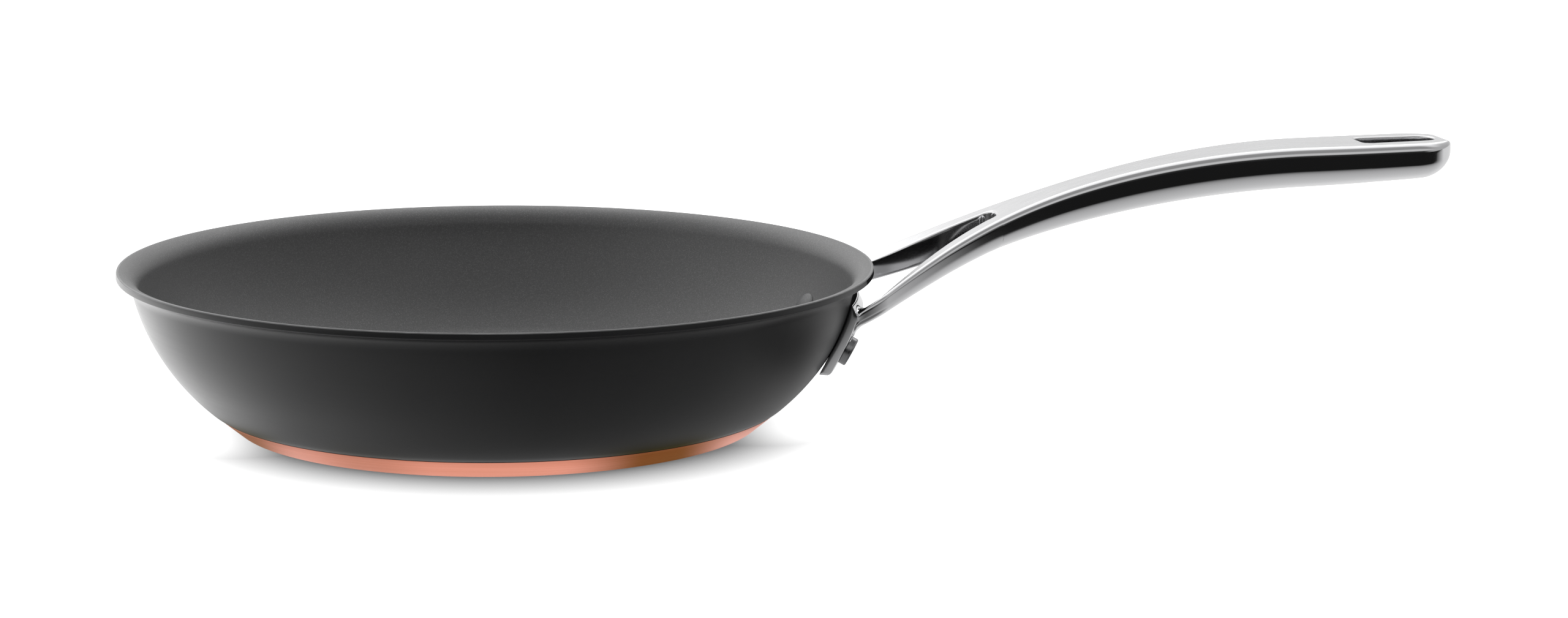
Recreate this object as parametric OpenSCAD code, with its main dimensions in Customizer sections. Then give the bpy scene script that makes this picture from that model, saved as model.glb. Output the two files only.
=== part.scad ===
// Omelette pan: a shallow pressed bowl with a flared rim, a thick layered base with a copper skirt
// and a forked, arched cast handle held to the wall by two rivets.
// Millimetres, +Z up. The origin is the centre of the flat underside, and the handle runs along +X.

/* [Bowl] */
// Outer diameter of the rim
rim_d = 244; // [200:1:300]
// Height of the rim above the surface that the pan stands on
pan_h = 51.2; // [46:0.2:62]
// Thickness of the wall
wall_t = 2.2; // [1.8:0.1:2.6]
// Thickness of the cooking floor
floor_t = 3; // [2:0.1:4.5]
// Radius of the bulging side wall, seen in section
side_r = 69; // [60:0.5:80]
// Radius of the tighter turn of the wall just above the base
heel_r = 14; // [10:0.5:18]
// Slope of the wall where it meets the copper skirt, from the horizontal
heel_slope = 28.5; // [24:0.5:40]
// Radius of the underside of the flared lip, seen in section
lip_r = 5.6; // [4.5:0.1:7]
// Slope of the lip at its edge, from the horizontal
lip_slope = 5; // [0:1:20]
// Radius between the cooking floor and the wall
floor_fillet = 12; // [6:0.5:16]
// Rounding of the two corners of the rim's cut edge
rim_round = 0.4; // [0.2:0.05:0.7]

/* [Base] */
// Distance from the rim in to the top edge of the copper skirt
rim_overhang = 29.2; // [26:0.2:34]
// Distance that the skirt leans in from its top edge to its foot
skirt_lean = 7.3; // [5:0.1:9]
// Height of the copper skirt
skirt_h = 6.1; // [5.6:0.1:8]
// Height of the skirt's top edge over the underside of the bowl's floor
skirt_over = 1.1; // [0.8:0.1:1.6]
// Thickness of the copper under the core
copper_t = 1; // [0.6:0.1:1.4]
// Thickness of the copper skirt, measured level
skirt_t = 1.2; // [0.8:0.1:1.6]
// Width of the ledge that the skirt's top edge leaves round the wall
skirt_ledge = 0.2; // [0.1:0.1:0.8]
// Distance from the edge of the underside in to the magnetic steel plate
plate_inset = 6.5; // [4:0.5:16]
// Thickness of the magnetic steel plate
plate_t = 0.8; // [0.5:0.1:1]
// Gap round pieces that are pressed into each other
fit_gap = 0.05; // [0.02:0.01:0.1]

/* [Handle] */
// Reach of the handle past the rim, level with the ground
handle_reach = 198; // [170:0.2:230]
// Height of the top of the grip above the rim
handle_rise = 36.5; // [30:0.1:44]
// Radius of the arch along the top of the handle
arch_r = 300; // [280:1:340]
// Distance from the rim out to the crest of the arch
crest_out = 156; // [145:1:165]
// Climb of the straight end of the grip
end_slope = 0.03; // [0:0.005:0.04]
// Distance from the rim out to where the arms pass into the arch
root_out = 20; // [14:1:26]
// Height of the arms' top over the flange's top edge, level with the rim's edge
arm_rise = 2.7; // [1.5:0.1:4]
// Width at the waist, just outside the fork
waist_w = 20; // [18:0.5:24]
// Distance from the rim out to the waist
waist_out = 72; // [66:1:78]
// Width of the grip's broad end
end_w = 30.6; // [28:0.2:34]
// Distance from the tip back to where the grip is broadest
broad_back = 29; // [25:1:36]
// Depth of the grip where it is deepest
grip_depth = 14.8; // [13:0.1:17]
// Distance from the tip back to where the grip is deepest
deep_back = 70; // [62:1:80]
// Depth of each arm where it meets the flange
arm_depth = 7.9; // [6.5:0.1:9]
// Width of the bevel along both upper edges, where the grip is deepest
bevel_w = 1.6; // [0.8:0.1:2]
// Depth of the bevel along both upper edges, where the grip is deepest
bevel_h = 2.2; // [1:0.1:2.6]
// Share of the depth that the flat side takes
side_share = 0.5; // [0.4:0.05:0.6]

/* [Fork] */
// Radius of the outer flare of the arms, seen from above
flare_r = 115; // [105:1:130]
// Radius that turns the arms' outer edges in line with the handle at the flange
turn_r = 19; // [15:0.5:22]
// Distance from the rim out to where the flare ends and that turn starts
turn_out = 0.5; // [-1:0.25:2]
// Width of each arm, measured across the handle
arm_w = 9.2; // [8:0.2:10]
// Distance from the rim out to where the opening starts to close
opening_out = 38.4; // [36:0.2:42]
// Length over which the opening closes
opening_end = 4; // [3:0.2:6]
// Height of each arm's outer upper edge over its inner one, where it meets the flange
arm_lean = 2.5; // [0:0.1:3]
// Height of the arms' undersides over the grip's at the fork
under_lift = 0.8; // [0:0.1:2]

/* [Flange] */
// Half of the angle that the flange covers round the bowl
flange_half_angle = 20; // [18:0.5:22]
// Thickness of the flange
flange_t = 3.3; // [2.8:0.1:3.8]
// Depth of the flange's top edge below the rim
flange_drop = 9; // [8:0.1:12]
// Height of the flange's lower edge above the ground
flange_foot = 19; // [16:0.1:21]
// Clearance between the flange and the wall
flange_gap = 0.1; // [0.05:0.01:0.2]
// Rounding of the flange's outer lower edge
flange_round = 1.2; // [0.6:0.1:1.4]
// Height of the bevel along the flange's top edge
flange_bevel = 3.8; // [1:0.1:5]
// Thickness that the bevel leaves of the flange's top edge
flange_edge = 0.5; // [0.3:0.1:1.5]

/* [Rivets] */
// Angle between each rivet and the handle, round the bowl
rivet_angle = 15.5; // [13:0.5:16]
// Height of the rivets above the ground, on the outside of the wall
rivet_level = 27.6; // [24:0.2:31]
// Diameter of the shank
shank_d = 5.5; // [4.5:0.1:6]
// Diameter of the outer head
head_d = 9.6; // [8:0.1:10]
// Height of the outer head
head_h = 2.4; // [1.8:0.1:3]
// Rounding of the outer head's edge
head_round = 0.6; // [0.3:0.1:1]
// Diameter of the flat head inside the bowl
inner_head_d = 11; // [9:0.1:12]
// Height of the flat head inside the bowl
inner_head_h = 1.2; // [0.8:0.1:1.6]

/* [Hanging slot] */
// Distance from the tip to the slot's outer end
slot_margin = 5.2; // [3.6:0.2:8]
// Length of the slot
slot_l = 26.4; // [22:0.2:32]
// Diameter of the slot's round outer end
slot_narrow = 12; // [10:0.5:13]
// How much wider the slot is at its inner end
slot_taper = 2; // [1:0.5:3]
// Radius of the two corners of the slot's inner end
slot_corner = 3; // [2:0.5:5]

/* [Hidden] */
$fn = 96;
eps = 0.01;

rim_r = rim_d / 2;
arc_steps = 24;
fillet_steps = 10;
corner_steps = 5;

// Diameters of the skirt's top edge, of the underside and of the magnetic plate
skirt_top_d = rim_d - 2 * rim_overhang;
foot_d = skirt_top_d - 2 * skirt_lean;
plate_d = foot_d - 2 * plate_inset;
// Height of the underside of the bowl's floor
stack_h = skirt_h - skirt_over;

// Centre of the lip's two arcs
lip_c = [rim_r + lip_r * sin(lip_slope), pan_h - (lip_r + wall_t) * cos(lip_slope)];
// Point where the skirt's top edge meets the wall
skirt_p = [skirt_top_d / 2 - skirt_ledge, skirt_h];
// Centre of the wall's turn above the base, which leaves the skirt with the slope given
heel_c = skirt_p + heel_r * [-sin(heel_slope), cos(heel_slope)];
// Centre of the side wall's arcs, which pass smoothly into that turn and into the lip
side_c = circle_meet(heel_c, side_r - heel_r, lip_c, side_r + lip_r);
// Angle at which the side wall passes into the lip
side_top_a = atan2(lip_c[1] - side_c[1], lip_c[0] - side_c[0]);
// Angles of that turn where it meets the side, and at the underside of the floor
heel_top_a = atan2(heel_c[1] - side_c[1], heel_c[0] - side_c[0]);
heel_low_a = asin((stack_h - heel_c[1]) / heel_r);
// Slope of the wall where the rivets pass through it, from the vertical
rivet_tilt = asin((side_c[1] - rivet_level) / side_r);
// Level of the cooking floor
floor_z = stack_h + floor_t;
// Centre of the fillet between the cooking floor and the wall
fillet_run = side_r - wall_t - floor_fillet;
fillet_c = [
    side_c[0] + sqrt(pow(fillet_run, 2) - pow(floor_z + floor_fillet - side_c[1], 2)),
    floor_z + floor_fillet
];
fillet_a = atan2(fillet_c[1] - side_c[1], fillet_c[0] - side_c[0]);

// Places along the handle, measured from the centre of the bowl
tip_x = rim_r + handle_reach;
crest_x = rim_r + crest_out;
waist_x = rim_r + waist_out;
broad_x = tip_x - broad_back;
round_x = tip_x - end_w / 2;
deep_x = tip_x - deep_back;
opening_x = rim_r + opening_out;
turn_x = rim_r + turn_out;
grip_z = pan_h + handle_rise;
straight_x = crest_x - arch_r * sin(atan(end_slope));
root_x = rim_r + root_out;
// The arms leave the arch with its own slope there and bend until they reach their height at the rim
root_slope = tan(asin((crest_x - root_x) / arch_r));
arm_top_z = pan_h - flange_drop + arm_rise;
root_bend = (arm_top_z - arc_z(root_x) + root_slope * root_out) / pow(root_out, 2);
// Flare of the outer edge past the waist, its slope where the turn starts, and the turn's reach
flare_dx = waist_x - turn_x;
flare_a = asin(flare_dx / flare_r);
turn_end_x = turn_x - turn_r * sin(flare_a);
fork_x = opening_x + opening_end;
// Nose of the grip
nose_l = 4;
nose_low_l = 11;
nose_top = 3.4;
end_power = 2;
opening_power = 2.6;
// Slot: its inner end, the centre of its round outer end and its width at the inner end
slot_in_x = tip_x - slot_margin - slot_l;
slot_out_x = tip_x - slot_margin - slot_narrow / 2;
slot_wide = slot_narrow + slot_taper;

// Where two circles meet, on the left of the way from the first centre to the second
function circle_meet(p, rp, q, rq) =
    let (d = norm(q - p),
         a = (rp * rp - rq * rq + d * d) / (2 * d),
         h = sqrt(rp * rp - a * a),
         u = (q - p) / d)
    p + a * u + h * [-u[1], u[0]];

// Points along an arc from angle a to angle b
function arc(c, r, a, b, n) = [for (i = [0:n]) let (t = a + (b - a) * i / n) c + r * [cos(t), sin(t)]];

// Distance from the bowl's axis to the outside of the wall at height z, on the side and on the heel
function side_x(z) = side_c[0] + sqrt(pow(side_r, 2) - pow(z - side_c[1], 2));
function heel_x(z) = heel_c[0] + sqrt(pow(heel_r, 2) - pow(z - heel_c[1], 2));

// Half of the distance between the arms' inner edges, and nothing past the opening's end
function inner_half(x) =
    x <= opening_x ? outer_half(x) - arm_w
    : x >= fork_x - eps ? 0
    : inner_half(opening_x) * close((x - opening_x) / opening_end, opening_power);

// Smooth step from 0 to 1
function ease(u) = let (v = min(max(u, 0), 1)) v * v * (3 - 2 * v);

// Share of the full size that is left u of the way into the rounded tip
function close(u, power) = pow(1 - pow(min(max(u, 0), 1), power), 1 / power);

// Half of the handle's width
function outer_half(x) =
    x < turn_end_x ? outer_turn(turn_end_x)
    : x < turn_x ? outer_turn(x)
    : x < waist_x ? outer_flare(x)
    : (waist_w / 2 + (end_w - waist_w) / 2 * ease((x - waist_x) / (broad_x - waist_x)))
      * close((x - round_x) / (tip_x - round_x), end_power);
function outer_flare(x) = waist_w / 2 + flare_r - sqrt(pow(flare_r, 2) - pow(waist_x - x, 2));
function outer_turn(x) =
    outer_flare(turn_x) + sqrt(pow(turn_r, 2) - pow(x - turn_end_x, 2)) - turn_r * cos(flare_a);

// Height of the top of the handle, before its nose
function arc_z(x) = grip_z - arch_r + sqrt(pow(arch_r, 2) - pow(crest_x - x, 2));
function arch_z(x) =
    x < root_x ? arc_z(root_x) - root_slope * (root_x - x) + root_bend * pow(min(root_x - x, root_out), 2)
    : x < straight_x ? arc_z(x)
    : arc_z(straight_x) + end_slope * (x - straight_x);

// Depth of the handle
function depth(x) =
    grip_depth - (grip_depth - arm_depth) * pow((deep_x - x) / (deep_x - rim_r), 2);

// How far the nose has closed, from 0 where it starts to 1 at the tip
function nose(x, l) = 1 - close((x - tip_x + l) / l, 2);
function top_z(x) = arch_z(x) - nose_top * nose(x, nose_l);
function low_z(x) =
    arch_z(x) - depth(x) + arm_share(x) * under_lift + (depth(x) - nose_top) * nose(x, nose_low_l);

// How far along the arms x is, from 0 at the rim to 1 at the fork, and nothing past it
function arm_share(x) =
    pow(max(x - rim_r, 0) / (fork_x - rim_r), 2) * min(inner_half(x) / inner_half(opening_x), 1);

// Radius of the middle of the flange at height z
function flange_mid(z) =
    (z > rivet_level ? side_x(z) : side_x(rivet_level) - (rivet_level - z) * tan(rivet_tilt))
    + flange_gap + flange_t / 2;

// One side of the handle's section at x, from the middle of the top round to the middle of the belly
belly_steps = 9;
function half_section(x) =
    let (wi = inner_half(x), wo = outer_half(x), zt = top_z(x), zl = low_z(x),
         s = (zt - zl) / grip_depth, bw = bevel_w * s, bh = bevel_h * s,
         zi = zt - arm_lean * pow(max(fork_x - x, 0) / (fork_x - rim_r), 2),
         zs = zt - side_share * (zt - zl))
    concat(
        [[wi, zi], [wo - bw, zt], [wo, zt - bh], [wo, zs]],
        [for (i = [1:belly_steps]) let (t = 90 * i / belly_steps)
            [wi + (wo - wi) * cos(t), zs - (zs - zl) * sin(t)]]
    );
ring = belly_steps + 4;

// Stations along the handle: the arms, the end of the opening, the grip and the tip.
// The first one lies inside the flange, and the last one just short of the tip.
first_x = rim_r - 11;
last_a = 86;
arm_steps = 16;
close_steps = 6;
grip_steps = 22;
tip_steps = 12;
stations = concat(
    [for (i = [0:arm_steps - 1]) first_x + (opening_x - first_x) * i / arm_steps],
    [for (i = [0:close_steps]) opening_x + opening_end * sin(90 * i / close_steps)],
    [for (i = [1:grip_steps]) fork_x + (round_x - fork_x) * i / grip_steps],
    [for (i = [1:tip_steps]) round_x + (tip_x - round_x) * sin(last_a * i / tip_steps)]
);
open_stations = arm_steps + close_steps;

// A point of the section at station x, set back on the flange's middle where the arm starts
function handle_point(p, x, side) =
    [x > first_x ? x : sqrt(pow(flange_mid(p[1]), 2) - p[0] * p[0]), side * p[0], p[1]];

module pan_body() {
    color([0.20, 0.20, 0.21])
        difference() {
            rotate_extrude() bowl_section();
            rivet_places() cylinder(d = shank_d + 2 * fit_gap, h = 4 * (wall_t + flange_t), center = true);
        }
}

module bowl_section() {
    lip_end = 90 + lip_slope;
    under = lip_c + lip_r * [cos(lip_end), sin(lip_end)];
    over = lip_c + (lip_r + wall_t) * [cos(lip_end), sin(lip_end)];
    out = [cos(lip_slope), sin(lip_slope)];
    up = [-sin(lip_slope), cos(lip_slope)];
    // Angles that the two rounded corners take off the ends of the lip's arcs
    under_cut = rim_round / lip_r * 180 / PI;
    over_cut = rim_round / (lip_r + wall_t) * 180 / PI;
    polygon(concat(
        [[0, stack_h]],
        arc(heel_c, heel_r, heel_low_a, heel_top_a, fillet_steps),
        arc(side_c, side_r, heel_top_a, side_top_a, arc_steps),
        arc(lip_c, lip_r, 180 + side_top_a, lip_end + under_cut, arc_steps),
        arc(under - (out - up) * rim_round, rim_round, lip_slope - 90, lip_slope, corner_steps),
        arc(over - (out + up) * rim_round, rim_round, lip_slope, lip_slope + 90, corner_steps),
        arc(lip_c, lip_r + wall_t, lip_end + over_cut, 180 + side_top_a, arc_steps),
        arc(side_c, side_r - wall_t, side_top_a, fillet_a, arc_steps),
        arc(fillet_c, floor_fillet, fillet_a, -90, fillet_steps),
        [[0, floor_z]]
    ));
}

module base_core() {
    color([0.72, 0.73, 0.75])
        rotate_extrude()
            polygon([
                [0, plate_t + copper_t],
                [skirt_in(plate_t + copper_t) - fit_gap, plate_t + copper_t],
                [skirt_in(stack_h) - fit_gap, stack_h],
                [0, stack_h]
            ]);
}

// Radius of the inside of the copper skirt at height z
function skirt_in(z) = foot_d / 2 + (skirt_top_d - foot_d) / 2 * z / skirt_h - skirt_t;

module copper_base() {
    color([0.80, 0.52, 0.42])
        rotate_extrude()
            polygon([
                [0, plate_t],
                [plate_d / 2 + fit_gap, plate_t],
                [plate_d / 2 + fit_gap, 0],
                [foot_d / 2, 0],
                [skirt_top_d / 2, skirt_h],
                [heel_x(skirt_h) + fit_gap, skirt_h],
                [heel_x(stack_h) + fit_gap, stack_h],
                [skirt_in(stack_h), stack_h],
                [skirt_in(plate_t + copper_t), plate_t + copper_t],
                [0, plate_t + copper_t]
            ]);
}

module base_plate() {
    color([0.62, 0.63, 0.65])
        cylinder(d = plate_d, h = plate_t);
}

// Puts its children at both rivets: +Z out of the wall, and z = 0 on the outside of the wall
module rivet_places(sides = [-1, 1]) {
    for (side = sides)
        rotate([0, 0, side * rivet_angle])
            translate([side_x(rivet_level), 0, rivet_level])
                rotate([0, 90 + rivet_tilt, 0])
                    children();
}

module rivet(side) {
    seat = flange_gap + flange_t + eps;
    inner_seat = wall_t + pow(inner_head_d, 2) / (8 * (side_r - wall_t)) + eps;
    color([0.66, 0.67, 0.69])
        rivet_places([side]) {
            translate([0, 0, -inner_seat - inner_head_h / 2])
                cylinder(d = shank_d, h = inner_head_h / 2 + inner_seat + seat + head_h / 2);
            translate([0, 0, -inner_seat - inner_head_h])
                cylinder(d = inner_head_d, h = inner_head_h);
            translate([0, 0, seat])
                rotate_extrude()
                    polygon(concat(
                        [[0, 0], [head_d / 2, 0]],
                        arc([head_d / 2 - head_round, head_h - head_round], head_round, 0, 90, corner_steps),
                        [[0, head_h]]
                    ));
        }
}

module rivet_left() {
    rivet(1);
}

module rivet_right() {
    rivet(-1);
}

module handle() {
    color([0.80, 0.81, 0.82])
        difference() {
            union() {
                forked_bar();
                flange();
            }
            rivet_places() cylinder(d = shank_d + 2 * fit_gap, h = 4 * (wall_t + flange_t), center = true);
            hanging_slot();
        }
}

// The flange follows the wall down to the rivets, runs straight on below them and ends level
module flange() {
    r_in = side_r + flange_gap;
    top_a = asin((pan_h - flange_drop - side_c[1]) / r_in);
    n = [cos(rivet_tilt), -sin(rivet_tilt)];
    down = [-sin(rivet_tilt), -cos(rivet_tilt)];
    bend = side_c + r_in * n;
    foot = bend + down * (bend[1] - flange_foot) / cos(rivet_tilt);
    corner = bend + n * (flange_t - flange_round);
    corner_c = corner + down * (corner[1] - flange_foot - flange_round) / cos(rivet_tilt);
    bevel_a = asin((pan_h - flange_drop - flange_bevel - side_c[1]) / (r_in + flange_t));
    rotate([0, 0, -flange_half_angle])
        rotate_extrude(angle = 2 * flange_half_angle)
            polygon(concat(
                arc(side_c, r_in, top_a, -rivet_tilt, corner_steps * 2),
                [foot],
                arc(corner_c, flange_round, -90, -rivet_tilt, corner_steps),
                arc(side_c, r_in + flange_t, -rivet_tilt, bevel_a, corner_steps * 2),
                [side_c + (r_in + flange_edge) * [cos(top_a), sin(top_a)]]
            ));
}

// The slot is square at its inner end, with two rounded corners, and round at its outer one
module hanging_slot() {
    tall = 4 * grip_depth;
    outer_r = slot_narrow / 2;
    outer_c = [slot_out_x, 0];
    corner_c = [slot_in_x + slot_corner, slot_wide / 2 - slot_corner];
    run = outer_c - corner_c;
    // Direction square to the straight side, which touches the corner and the round end
    side_a = atan2(run[1], run[0]) + acos((slot_corner - outer_r) / norm(run));
    half = concat(
        arc(corner_c, slot_corner, 180, side_a, fillet_steps),
        arc(outer_c, outer_r, side_a, 0, arc_steps)
    );
    other_half = [for (i = [len(half) - 2:-1:0]) [half[i][0], -half[i][1]]];
    translate([0, 0, grip_z - tall / 2])
        linear_extrude(tall)
            polygon(concat(half, other_half));
}

// The arms and the grip as one skin. Each station holds a left and a right half section,
// and the halves share their middle points past the fork.
module forked_bar() {
    last = len(stations) - 1;
    points = [for (side = [1, -1]) for (x = stations) for (p = half_section(x)) handle_point(p, x, side)];
    half = len(stations) * ring;
    function id(side, i, j) = (side > 0 ? 0 : half) + i * ring + j;
    // Turns a face over on the left half, so that it still looks outwards
    function face(side, f) = side < 0 ? f : [for (k = [len(f) - 1:-1:0]) f[k]];
    skin = [for (side = [1, -1]) for (i = [0:last - 1]) for (j = [0:ring - 2]) for (k = [0, 1])
        face(side, k == 0
            ? [id(side, i, j), id(side, i + 1, j), id(side, i + 1, j + 1)]
            : [id(side, i, j), id(side, i + 1, j + 1), id(side, i, j + 1)])];
    inside = [for (side = [1, -1]) for (i = [0:open_stations - 1]) for (k = [0, 1])
        face(side, k == 0
            ? [id(side, i, 0), id(side, i, ring - 1), id(side, i + 1, ring - 1)]
            : [id(side, i, 0), id(side, i + 1, ring - 1), id(side, i + 1, 0)])];
    ends = [for (side = [1, -1]) for (i = [0, last])
        face(i == 0 ? side : -side, [for (j = [0:ring - 1]) id(side, i, j)])];
    polyhedron(points = points, faces = concat(skin, inside, ends), convexity = 6);
}

pan_body();
base_core();
copper_base();
base_plate();
handle();
rivet_left();
rivet_right();
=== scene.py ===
"""Looks of an omelette pan: a dark bowl, a copper skirt and a polished forked handle.

The origin is the centre of the underside, +Z is up and the handle runs along +X.
The pan's sizes are in millimetres, and add_mesh() turns them into metres. Those of the
camera and the studio are in metres. In a name, R is a radius, H a height, T a thickness,
W a width, L a length, A an angle, C a centre, and X or Z a place.
"""

import math

import bmesh
import bpy
import numpy as np
from mathutils import Matrix, Vector
from mathutils.kdtree import KDTree


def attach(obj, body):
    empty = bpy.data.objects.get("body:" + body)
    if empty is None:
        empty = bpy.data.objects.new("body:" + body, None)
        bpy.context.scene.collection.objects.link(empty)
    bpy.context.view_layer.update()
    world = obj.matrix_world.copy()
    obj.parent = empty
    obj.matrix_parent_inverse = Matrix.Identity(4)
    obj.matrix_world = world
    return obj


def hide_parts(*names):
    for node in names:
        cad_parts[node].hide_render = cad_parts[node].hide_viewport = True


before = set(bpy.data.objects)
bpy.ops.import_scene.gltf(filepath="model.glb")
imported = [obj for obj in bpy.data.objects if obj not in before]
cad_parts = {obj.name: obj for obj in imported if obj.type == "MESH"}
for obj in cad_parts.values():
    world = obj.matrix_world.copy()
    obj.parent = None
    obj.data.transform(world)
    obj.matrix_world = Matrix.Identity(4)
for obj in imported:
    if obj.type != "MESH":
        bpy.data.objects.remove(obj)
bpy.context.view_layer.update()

MM = 0.001
BODY = "root"

# Camera: its place and aim against the bowl's axis, in radians, with the handle turned away from it
PHOTO_WIDTH_PX = 2560
FOCAL_PX = 5072.3
SENSOR_WIDTH = 36
NEAREST = 0.01
FARTHEST = 100
CAMERA_DISTANCE = 1.0
CAMERA_HEIGHT = 0.2224
CAMERA_YAW = 0.0930
CAMERA_PITCH = 0.18466
CAMERA_ROLL = 0.00948
HANDLE_TURN = math.radians(3)

# Bowl
RIM_R = 122
PAN_H = 51.2
WALL_T = 2.2
FLOOR_T = 3
SIDE_R = 69
HEEL_R = 14
HEEL_SLOPE = 28.5
LIP_R = 5.6
LIP_SLOPE = 5
FLOOR_FILLET = 12
RIM_ROUND = 0.4
HEEL_STEPS = 12
SIDE_STEPS = 40
LIP_STEPS = 24
FILLET_STEPS = 16
RIM_STEPS = 5

# Base
SKIRT_TOP_R = 92.8
FOOT_R = 85.5
SKIRT_H = 6.1
STACK_H = 5
COPPER_T = 1
SKIRT_T = 1.2
SKIRT_LEDGE = 0.2
FOOT_ROUND = 0.35
SKIRT_ROUND = 0.12
PLATE_R = 79
PLATE_T = 0.8
PLATE_CHAMFER = 0.15
FIT_GAP = 0.05

# Handle
TIP_X = 319.95
GRIP_Z = 87.68
ARCH_R = 300
CREST_X = 278
END_SLOPE = 0.03
ROOT_X = 142
ARM_TOP_Z = 44.9
WAIST_W = 20
WAIST_X = 194
END_W = 30.6
BROAD_X = 291
ROUND_X = TIP_X - END_W / 2
GRIP_DEPTH = 14.8
DEEP_X = 250
ARM_DEPTH = 7.9
BEVEL_W = 1.6
BEVEL_H = 2.2
SIDE_SHARE = 0.5
NOSE_L = 4
NOSE_LOW_L = 11
NOSE_TOP = 3.4
END_POWER = 2
EDGE_R = 0.6
CORNER_R = 0.9
# The bevel and the edge of an opening take at most these shares of the width where it is narrow
BEVEL_SHARE = 0.45
EDGE_SHARE = 0.4

# Fork
FLARE_R = 115
TURN_R = 19
TURN_X = 122.5
ARM_W = 9.2
OPENING_X = 160.4
OPENING_END = 4
FORK_X = OPENING_X + OPENING_END
OPENING_POWER = 2.6
ARM_LEAN = 2.5
UNDER_LIFT = 0.8
ARM_START_X = 111
END_INSET = 0.06

# Root of the arms: a fillet spreads their belly where they run into the flange, and the upright
# sides get a share of it
ROOT_FILLET = 2.2
SIDE_FILLET_SHARE = 0.15
# The line where they meet the flange is then filled, fully on the line and less up to a distance
# from it. Each step moves a point a share of the way to the middle of its neighbours
WELD_DISTANCE = 0.05
ROOT_BLEND = 4.5
BLEND_START = 1.3
ROOT_BLEND_STEPS = 140
BLEND_EASE = 0.06
RELAX_SHARE = 0.5
# A few steps before that take the edges off the flange and off the line
FLANGE_EDGE_STEPS = 3
FLANGE_EDGE_SHARE = 0.5
SEAM_EDGE_SHARE = 0.3

# Flange and rivets
FLANGE_ANGLE = 20
FLANGE_T = 3.3
FLANGE_DROP = 9
FLANGE_FOOT = 19
FLANGE_GAP = 0.1
FLANGE_ROUND = 1.2
FLANGE_BEVEL = 3.8
FLANGE_EDGE = 0.5
FLANGE_ROUND_STEPS = 12
FLANGE_TURNS = 140
FLANGE_ROWS = 42
FLANGE_LAYERS = 5
RIVET_ANGLE = 15.5
RIVET_LEVEL = 27.6
SHANK_R = 2.75
HEAD_R = 4.8
HEAD_H = 2.4
HEAD_ROUND = 0.6
HEAD_ROUND_END = 84
HEAD_ROUND_STEPS = 6
HEAD_DOME = 0.12
INNER_HEAD_R = 5.5
INNER_HEAD_H = 1.2
INNER_DOME_END = 8
INNER_DOME_STEPS = 9
RIVET_STEPS = 72

# Hanging slot: square with two rounded corners at its inner end, and round at its outer one
SLOT_START = 288.4
SLOT_WIDE = 14
SLOT_CORNER = 3
SLOT_OUT_X = 308.8
SLOT_OUT_R = 6
SLOT_END = SLOT_OUT_X + SLOT_OUT_R
# The next section past the slot's straight end, which gives it its full width there
SLOT_STEP = 0.004

# Meshes: steps round the axis, and the angles in degrees over which an edge is sharp
LATHE_STEPS = 320
SHARP_ANGLE = 35
HANDLE_SHARP_ANGLE = 38
# Points and edges closer than this are joined, in metres
JOIN_DISTANCE = 2e-7
THIN_EDGE = 1e-8
# A rounded corner takes at most this share of each leg
LEG_SHARE = 0.4
# Less than this is nothing, in millimetres, and the least number to divide by
NOTHING = 1e-6
TINY = 1e-9

# Finishes of the handle, the bowl and the rivets by their places in a piece's list. The flange has
# a place of its own until the root is blended
POLISHED, SATIN, FLANGE_MARK = range(3)
OUTSIDE, INSIDE, EDGE = range(3)
BARE, COATED = range(2)


# Plane geometry

def arc(centre, radius, start, end, steps):
    """Points along an arc from angle start to angle end, in degrees."""
    t = np.radians(np.linspace(start, end, steps + 1))
    return np.column_stack([centre[0] + radius * np.cos(t), centre[1] + radius * np.sin(t)])


def line(p, q, hold=0.4):
    """A straight run with a point just inside each end, which keeps the shading flat."""
    p = np.array(p, float)
    q = np.array(q, float)
    step = (q - p) / np.linalg.norm(q - p) * hold
    return np.array([p, p + step, q - step, q])


def angle_of(v):
    """Direction of a vector in degrees."""
    return math.degrees(math.atan2(v[1], v[0]))


def circle_meet(p, rp, q, rq):
    """Where two circles meet, on the left of the way from the first centre to the second."""
    d = np.linalg.norm(q - p)
    along = (rp * rp - rq * rq + d * d) / (2 * d)
    across = math.sqrt(rp * rp - along * along)
    u = (q - p) / d
    return p + along * u + across * np.array([-u[1], u[0]])


def ease(u):
    """From 0 to 1 with soft ends."""
    v = min(max(u, 0), 1)
    return v * v * (3 - 2 * v)


def close(u, power=2):
    """Share of the full size that is left u of the way into an end, which a power of 2 makes round."""
    return (1 - min(max(u, 0), 1) ** power) ** (1 / power)


def soften(a, b, c, radius, steps=4):
    """Points that round the corner at b, on the way from a to c."""
    a, b, c = (np.array(p, float) for p in (a, b, c))
    to_a = np.linalg.norm(a - b)
    to_c = np.linalg.norm(c - b)
    reach = min(radius, LEG_SHARE * to_a, LEG_SHARE * to_c)
    start = b + (a - b) / max(to_a, TINY) * reach
    end = b + (c - b) / max(to_c, TINY) * reach
    return [(1 - u) ** 2 * start + 2 * u * (1 - u) * b + u * u * end for u in np.linspace(0, 1, steps + 1)]


# Section of the bowl

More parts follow.
